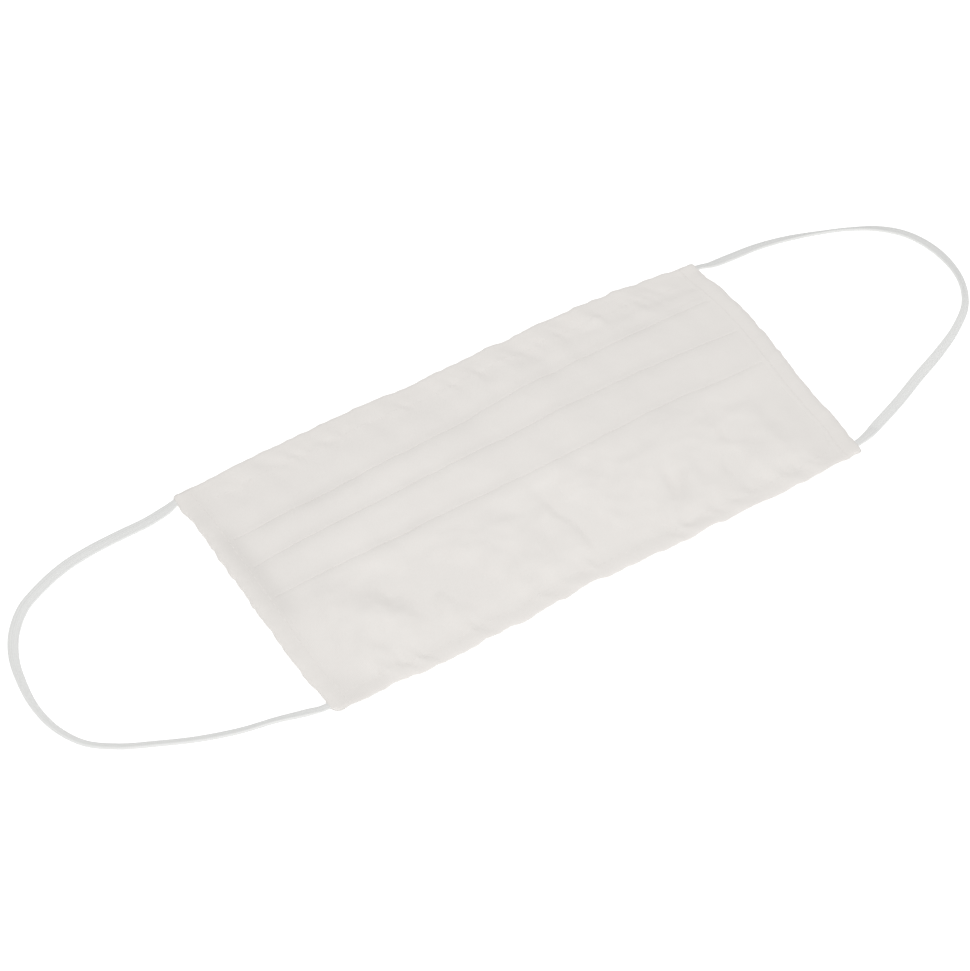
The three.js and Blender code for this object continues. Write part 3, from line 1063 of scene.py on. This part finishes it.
def strip_points(side, sizes):
    """Points and shade of a side hem's strip by row round its fold and column along the edge."""
    thickness = sizes.strip_thickness / MM
    edge = SideEdge(side)
    y_mid = edge.y(np.zeros(STRIP_COLUMNS))
    from_end = np.minimum(edge.share, 1.0 - edge.share) * (y_mid[-1] - y_mid[0])
    joints = [loop.route[end][1] for loop in LOOPS for end in (0, -1) if loop.route[0][0] * side.sign > 0]
    joined = sum(bell(y_mid, y, 2.0) for y in joints)
    closed = (1.0 - ease(from_end, -0.2, 1.6)) * (1.0 - 0.7 * joined)
    pucker = sizes.pucker / MM * along_waves(y_mid, STRIP_PUCKERS, side.seed) * (1.0 - closed)
    pleated = ease(y_mid, -8.0, 0.0) * (1.0 - ease(y_mid, 26.0, 34.0))
    puffed = 0.14 + 0.16 * pleated + 0.35 * pucker
    sunk_end = SIDE_HEM + 1.0
    low = thickness / 2 + FLOOR_GAP + 0.1 * closed
    crest = edge.carried(2.6, 5) + thickness / 2 + 0.1 * joined + puffed * (1.0 - 0.8 * closed)
    inner = edge.carried(SIDE_HEM, 2) - thickness / 2
    sunk = edge.cloth_top(sunk_end).min(axis=0) - thickness / 2 - 0.025
    drop = crest - inner
    reach = along_waves(y_mid, STRIP_WAVES, side.seed)
    reach = reach + side.push * pleat_ends(side, y_mid) + 0.2 * joined - 0.35 * closed

    path = ClothPath(STRIP_COLUMNS, thickness)
    path.to(SIDE_HEM - 1.2, low, 0.9)
    path.to(2.4, low, 0.6)
    for angle in np.radians((-90.0, -60.0, -30.0, 0.0, 30.0, 60.0)):
        bow = 0.15 + 0.8 * (1.0 - math.cos(angle))
        path.to(bow - reach, low + (crest - low) * (0.48 + 0.48 * math.sin(angle)), 0.45)
    path.to(2.2 - 0.6 * reach, crest, 0.5)
    path.to(3.7 - 0.3 * reach, inner + 0.58 * drop, 0.5)
    path.to(5.1, inner + 0.22 * drop + 0.1 * pucker, 0.45)
    path.to(SIDE_HEM - 0.2, inner + 0.06 * (1.0 - closed), 0.3)
    path.to(SIDE_HEM + 0.2, inner, 0.3)
    path.to(sunk_end, sunk, 0.3)

    inwards, height = path.rows()
    height = height + ((low + crest) / 2 - height) * (1.0 - ease(from_end, 0.0, 0.5))
    height = np.maximum(height, thickness / 2 + FLOOR_GAP)
    x, y = edge.x(inwards), np.array([edge.y(row) for row in inwards])
    shade = fold_shade(x, y, [], edge_line("chin", x))
    points = np.stack([bowed(x, y), y, height], axis=2)
    return (points, shade) if side.sign < 0 else (points[::-1], shade[::-1])


def elastic_route(loop, sizes):
    """Centre, direction, roll, share of its full size and length so far, all along an ear loop."""
    knots = np.array(loop.route)
    tucked = knots[[0, -1]] - (math.copysign(ELASTIC_TUCK, knots[0, 0]), 0.0, 0.0)
    knots = np.concatenate([tucked[:1], knots, tucked[1:]])
    chords = np.linalg.norm(np.diff(knots, axis=0), axis=1)
    marks = np.concatenate([[0.0], np.cumsum(chords)])
    rings = round(marks[-1] / ELASTIC_RIB)
    at = np.linspace(0.0, marks[-1], rings)
    centre = np.stack([through(marks, knots[:, axis], at) for axis in range(3)], axis=1)
    share = at / marks[-1]
    rolled_at, degrees = np.array(loop.rolls).T
    roll = np.radians(through(rolled_at, degrees, share))
    from_end = np.minimum(share, 1.0 - share) * marks[-1]
    size = 1.0 - ELASTIC_GATHER * (1.0 - ease(from_end, 2.5, 9.0))
    half_high = size * (sizes.width / MM * np.abs(np.sin(roll)) + sizes.thickness / MM * np.cos(roll)) / 2
    grip = ease(from_end, 2.0, 10.0)
    centre[:, 2] = ELASTIC_EXIT * (1.0 - grip) + (half_high + FLOOR_GAP) * grip
    centre[:, :2] += (centre[:, 2] - ELASTIC_EXIT)[:, None] * ELASTIC_LEAN
    tangent = np.gradient(centre, at, axis=0)
    tangent /= np.linalg.norm(tangent, axis=1)[:, None]
    return centre, tangent, roll, size, at


def elastic_section(sizes):
    """Ribbed flat section of the elastic: offsets across and up, going round."""
    half_wide, half_high = sizes.width / MM / 2, sizes.thickness / MM / 2
    turn = np.linspace(0.0, 2.0 * math.pi, SECTION_POINTS, endpoint=False)
    across = half_wide * np.sign(np.cos(turn)) * np.abs(np.cos(turn)) ** SQUARENESS
    up = half_high * np.sign(np.sin(turn)) * np.abs(np.sin(turn)) ** SQUARENESS
    ribs = 0.06 * np.cos(2.0 * math.pi * across / ELASTIC_RIB) * np.abs(np.sin(turn))
    return across, up + np.sign(np.sin(turn)) * ribs


def elastic_mesh(loop, sizes):
    """Mesh of an ear loop's elastic, and the points that it follows."""
    centre, tangent, roll, size, at = elastic_route(loop, sizes)
    across, up = elastic_section(sizes)
    outward = np.cross(tangent, (0.0, 0.0, 1.0))
    if loop.route[0][0] > 0:
        outward = -outward
    outward /= np.linalg.norm(outward, axis=1)[:, None]
    above = np.cross(outward, tangent)
    above *= np.sign(above[:, 2])[:, None]
    wide = (outward * np.cos(roll)[:, None] + above * np.sin(roll)[:, None]) * size[:, None]
    thick = (above * np.cos(roll)[:, None] - outward * np.sin(roll)[:, None]) * size[:, None]
    ring = np.append(np.arange(len(across)), 0)
    points = (
        centre[:, None, :]
        + wide[:, None, :] * across[ring][None, :, None]
        + thick[:, None, :] * up[ring][None, :, None]
    )
    mesh = sheet_mesh(loop.name, points, flat_chart(across[ring][None, :], at[:, None]))
    bm = bmesh.new()
    bm.from_mesh(mesh)
    bmesh.ops.remove_doubles(bm, verts=bm.verts, dist=0.001 * MM)
    ends = [edge for edge in bm.edges if edge.is_boundary]
    bmesh.ops.holes_fill(bm, edges=ends, sides=0)
    bmesh.ops.recalc_face_normals(bm, faces=bm.faces)
    bm.to_mesh(mesh)
    bm.free()
    return mesh, centre * MM


def add_stitch(bm, line, up, thread, proud):
    """Adds one stitch to bm, along a few points of the cloth whose mean normal is up."""
    along = line[-1] - line[0]
    side = along.cross(up).normalized()
    up = side.cross(along).normalized()
    shares = np.linspace(0.0, 1.0, len(line))
    rises = [(place - line[0]).dot(up) for place in line]
    middle = (line[0] + line[-1]) / 2 + up * (proud - thread / 2)
    turn = Matrix((side, up, along.normalized())).transposed().to_4x4()
    size = Matrix.Diagonal((thread * MM, thread * MM, along.length * MM, 1.0))
    place = Matrix.Translation(middle * MM) @ turn @ size
    made = bmesh.ops.create_uvsphere(
        bm, u_segments=8, v_segments=8, radius=0.5, matrix=place, calc_uvs=True,
    )
    for vert in made["verts"]:
        offset = vert.co / MM - middle
        share = offset.dot(along) / along.length_squared
        axis = along * share
        from_middle = min(abs(2.0 * share), 1.0)
        fuller = math.sqrt((1.0 - from_middle**6) / max(1.0 - from_middle**2, 0.01))
        rise = float(np.interp(share + 0.5, shares, rises)) - STITCH_DIVE * from_middle**4
        vert.co = (middle + axis + (offset - axis) * fuller + up * rise) * MM


def corner_order(face):
    """Sort key for stitch faces by their corners, because the sphere operator leaves their order open."""
    corners = [vert.index for vert in face.verts]
    first = min(corners)
    return first + 0.001 * sum(corner - first for corner in corners)


def sew_row(bm, tree, places, sizes, downwards):
    """Adds a row of stitches to bm that follow the cloth along places x and y, on its upper or under side."""
    step = sizes.length / MM + STITCH_GAP
    marks = np.concatenate([[0.0], np.cumsum(np.linalg.norm(np.diff(places, axis=0), axis=1))])
    shares = np.linspace(0.0, 1.0, STITCH_POINTS)
    for index in range(int(marks[-1] // step)):
        line, up = [], Vector()
        for mark in index * step + STITCH_GAP / 2 + shares * (step - STITCH_GAP):
            x, y = (np.interp(mark, marks, places[:, axis]) for axis in range(2))
            place, normal = touch(tree, x, y, downwards)
            line.append(place)
            up += normal
        add_stitch(bm, line, up, sizes.thread / MM, STITCH_PROUD[downwards])


class FACEMASK_OT_stage(Operator):
    """Sets the camera, the soft light and the pale floor"""

    bl_idname = "face_mask.stage"
    bl_label = "Set Up Studio"

    def execute(self, context):
        scene, studio = context.scene, context.scene.mask_studio
        scene.view_settings.view_transform = "Standard"
        self.add_camera(scene, studio)
        self.add_light(scene, studio)
        self.add_floor(scene, studio)
        return {"FINISHED"}

    def add_camera(self, scene, studio):
        """Camera that looks down on the mask from the front left."""
        back = Vector((
            math.sin(studio.azimuth) * math.cos(studio.elevation),
            -math.cos(studio.azimuth) * math.cos(studio.elevation),
            math.sin(studio.elevation),
        ))
        camera = bpy.data.objects.new("camera", bpy.data.cameras.new("camera"))
        camera.data.sensor_width = 36.0
        camera.data.lens = studio.lens
        camera.data.clip_start = 0.01
        camera.location = Vector(studio.aim) + back * studio.distance
        camera.rotation_euler = (-back).to_track_quat("-Z", "Y").to_euler()
        scene.collection.objects.link(camera)
        scene.camera = camera

    def add_light(self, scene, studio):
        """White dome all round, and a soft disk in front of the mask."""
        world = bpy.data.worlds.new("white_dome")
        world.use_nodes = True
        background = world.node_tree.nodes["Background"]
        background.inputs["Color"].default_value = (1.0, 1.0, 1.0, 1.0)
        background.inputs["Strength"].default_value = studio.dome
        scene.world = world
        key = bpy.data.lights.new("key", "AREA")
        key.shape = "DISK"
        key.size = studio.key_size
        key.energy = studio.key
        light = bpy.data.objects.new("key", key)
        light.location = studio.key_place
        light.rotation_euler = (-light.location).to_track_quat("-Z", "Y").to_euler()
        scene.collection.objects.link(light)

    def add_floor(self, scene, studio):
        """Wide floor of pale paper that glows a little, so that it stays white."""
        material, bench, shader = start_material("white_paper")
        grain = bench.cloud(bench.add("ShaderNodeTexCoord").outputs["Object"], 90.0)
        bench.feed(shader.inputs["Roughness"], bench.math("MULTIPLY_ADD", grain, 0.1, 0.85))
        shader.inputs["Base Color"].default_value = (*[studio.floor_tone] * 3, 1.0)
        shader.inputs["Emission Color"].default_value = (1.0, 1.0, 1.0, 1.0)
        shader.inputs["Emission Strength"].default_value = studio.floor_glow
        bm = bmesh.new()
        bmesh.ops.create_grid(bm, x_segments=1, y_segments=1, size=6.0)
        mesh = mesh_from("floor", bm)
        mesh.materials.append(material)
        floor = bpy.data.objects.new("floor", mesh)
        scene.collection.objects.link(floor)


class FACEMASK_OT_ear_loops(Operator):
    """Lays the two elastic ear loops on the surface beside the mask"""

    bl_idname = "face_mask.ear_loops"
    bl_label = "Lay Ear Loops"

    def execute(self, context):
        sizes = context.scene.mask_elastic
        finish = elastic_finish("knitted_elastic", context.scene.mask_colours.elastic)
        for loop in LOOPS:
            mesh, line = elastic_mesh(loop, sizes)
            piece = put_in_scene(loop.name, mesh, finish)
            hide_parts(loop.node)
        return {"FINISHED"}


class FACEMASK_OT_panel(Operator):
    """Folds and crumples the pleated cotton panel"""

    bl_idname = "face_mask.panel"
    bl_label = "Fold Pleated Panel"

    def execute(self, context):
        sizes = context.scene.mask_cloth
        points, shade = panel_points(sizes)
        lengths = row_lengths(points)
        mesh = sheet_mesh("panel_cloth", points, flat_chart(points[:, :, 0], lengths[:, None]), shade)
        finish = cotton_finish("cream_cotton", context.scene.mask_colours.cotton, PANEL_WEAVE)
        piece = put_in_scene("panel_cloth", mesh, finish)
        thicken(piece, sizes.thickness)
        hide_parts("pleated_panel")
        return {"FINISHED"}


class FACEMASK_OT_side_hems(Operator):
    """Wraps the pleat ends in a strip of cotton on each side"""

    bl_idname = "face_mask.side_hems"
    bl_label = "Wrap Side Hems"

    def execute(self, context):
        sizes = context.scene.mask_cloth
        finish = cotton_finish("hem_strip_cotton", context.scene.mask_colours.hem, STRIP_WEAVE)
        for side in SIDES:
            points, shade = strip_points(side, sizes)
            across, down = row_lengths(points), row_lengths(points.transpose(1, 0, 2))
            mesh = sheet_mesh(side.name, points, flat_chart(across[:, None], down[None, :]), shade)
            piece = put_in_scene(side.name, mesh, finish)
            thicken(piece, sizes.strip_thickness)
            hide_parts(side.node)
        return {"FINISHED"}


class FACEMASK_OT_stitches(Operator):
    """Sews the hems with rows of stitches on both faces"""

    bl_idname = "face_mask.stitches"
    bl_label = "Sew Hems"

    def execute(self, context):
        sizes = context.scene.mask_stitch
        finish = thread_finish("cotton_thread", context.scene.mask_colours.thread)
        x = np.linspace(-HALF_WIDTH + SIDE_HEM + 0.4, HALF_WIDTH - SIDE_HEM - 0.4, 200)
        nose = np.stack([x, edge_line("nose", x) - NOSE_STITCH], axis=1)
        chin = np.stack([x, edge_line("chin", x) + CHIN_STITCH], axis=1)
        self.sew("panel_stitches", "panel_cloth", (nose, chin), sizes, finish)
        for side in SIDES:
            edge = side.sign * (HALF_WIDTH - SIDE_STITCH)
            y = np.linspace(edge_line("chin", edge) + 0.7, edge_line("nose", edge) - 0.7, 100)
            row = np.stack([bowed(edge, y), y], axis=1)
            self.sew(f"{side.name}_stitches", side.name, (row,), sizes, finish)
        return {"FINISHED"}

    def sew(self, name, cloth, rows, sizes, finish):
        """Piece with the stitches of rows on both faces of a cloth."""
        tree = surface_of(cloth)
        bm = bmesh.new()
        bm.loops.layers.uv.new(CLOTH_UV)
        for row in rows:
            for downwards in (True, False):
                sew_row(bm, tree, row, sizes, downwards)
        bm.verts.index_update()
        bm.faces.sort(key=corner_order)
        for face in bm.faces:
            face.smooth = True
        put_in_scene(name, mesh_from(name, bm), finish)


class FACEMASK_PT_sidebar(Panel):
    """Lists the steps that make the mask, with their sizes"""

    bl_idname = "FACEMASK_PT_sidebar"
    bl_label = "Face Mask"
    bl_space_type = "VIEW_3D"
    bl_region_type = "UI"
    bl_category = "Face Mask"

    def draw(self, context):
        for step, settings in STEPS:
            box = self.layout.box()
            box.operator(step.bl_idname)
            for holder in settings:
                group = getattr(context.scene, holder)
                for key in group.__annotations__:
                    box.prop(group, key)


SETTINGS = {
    "mask_studio": StudioSettings,
    "mask_elastic": ElasticSizes,
    "mask_cloth": ClothSizes,
    "mask_stitch": StitchSizes,
    "mask_colours": MaskColours,
}
STEPS = (
    (FACEMASK_OT_stage, ("mask_studio",)),
    (FACEMASK_OT_ear_loops, ("mask_elastic",)),
    (FACEMASK_OT_panel, ("mask_cloth",)),
    (FACEMASK_OT_side_hems, ()),
    (FACEMASK_OT_stitches, ("mask_stitch", "mask_colours")),
)
CLASSES = (*SETTINGS.values(), *(step for step, _ in STEPS), FACEMASK_PT_sidebar)


def register():
    for item in CLASSES:
        bpy.utils.register_class(item)
    for holder, settings in SETTINGS.items():
        setattr(bpy.types.Scene, holder, PointerProperty(type=settings))


def unregister():
    for holder in SETTINGS:
        delattr(bpy.types.Scene, holder)
    for item in reversed(CLASSES):
        bpy.utils.unregister_class(item)


def main():
    register()
    bpy.ops.face_mask.stage()
    bpy.ops.face_mask.ear_loops()
    bpy.ops.face_mask.panel()
    bpy.ops.face_mask.side_hems()
    bpy.ops.face_mask.stitches()


if __name__ == "__main__":
    main()
